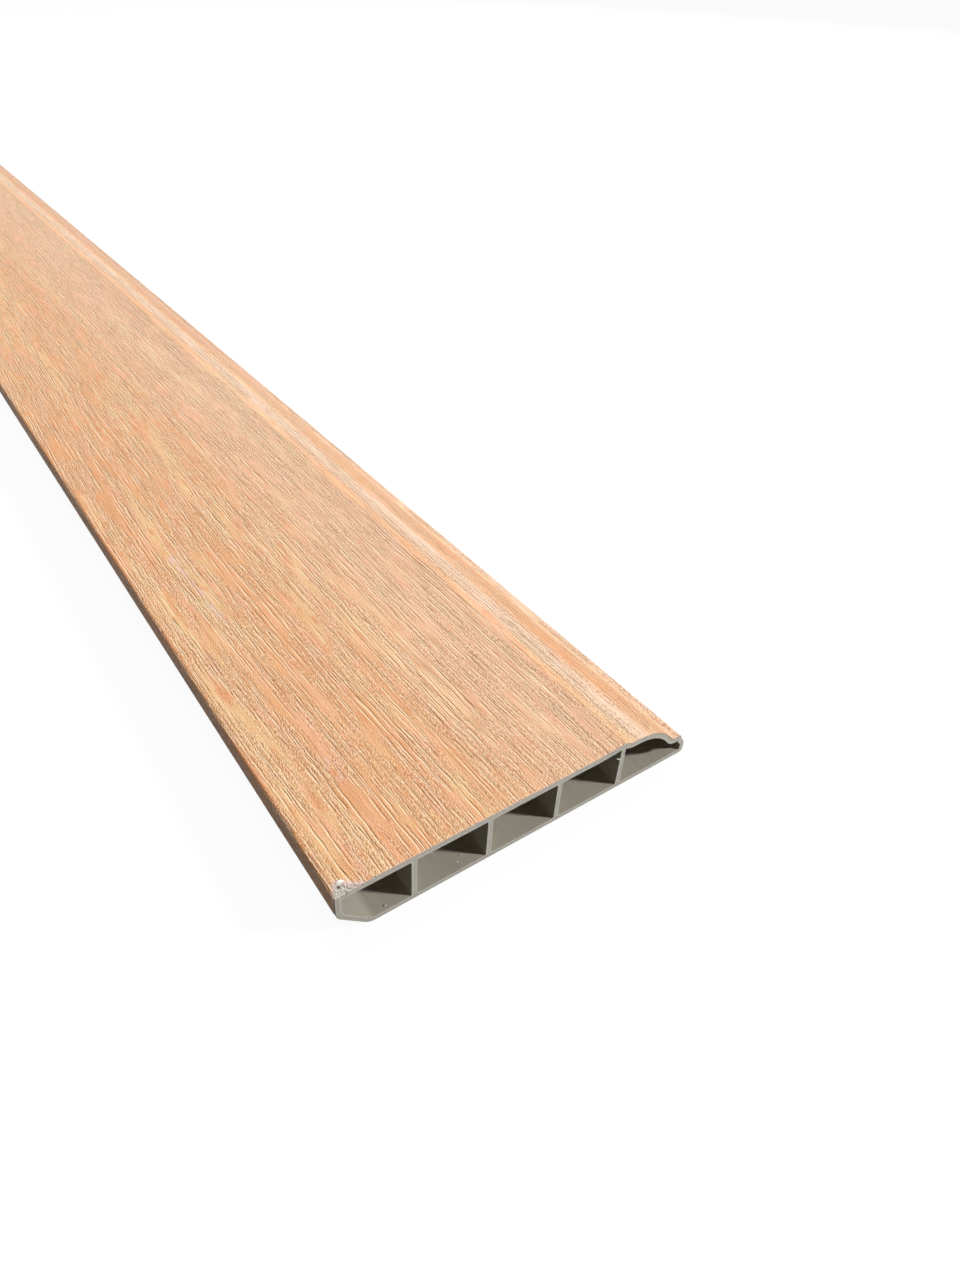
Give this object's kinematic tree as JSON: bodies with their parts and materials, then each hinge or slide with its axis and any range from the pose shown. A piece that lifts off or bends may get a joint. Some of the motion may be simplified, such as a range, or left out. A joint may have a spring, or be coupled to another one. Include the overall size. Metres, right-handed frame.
{
  "type": "skirting board",
  "caption": "Hollow extruded skirting board with open chambers, a bevelled bottom edge, an ogee top edge and a woodgrain film over its face.",
  "frame": {"origin": "middle of the flat back, at mid width and mid length", "axes": "+X across the width from the bottom edge to the moulded top edge, +Y along the length away from the sawn end that the picture shows, +Z out of the back towards the room side"},
  "size_m": [0.1, 2.5, 0.015],
  "materials": {
    "grey_pvc": "matt grey rigid PVC, extruded, with sawn ends",
    "woodgrain_film": "satin embossed light-wood grain film"
  },
  "bodies": {
    "root": {"pvc_profile": "grey_pvc", "woodgrain_film": "woodgrain_film"}
  },
  "joints": []
}
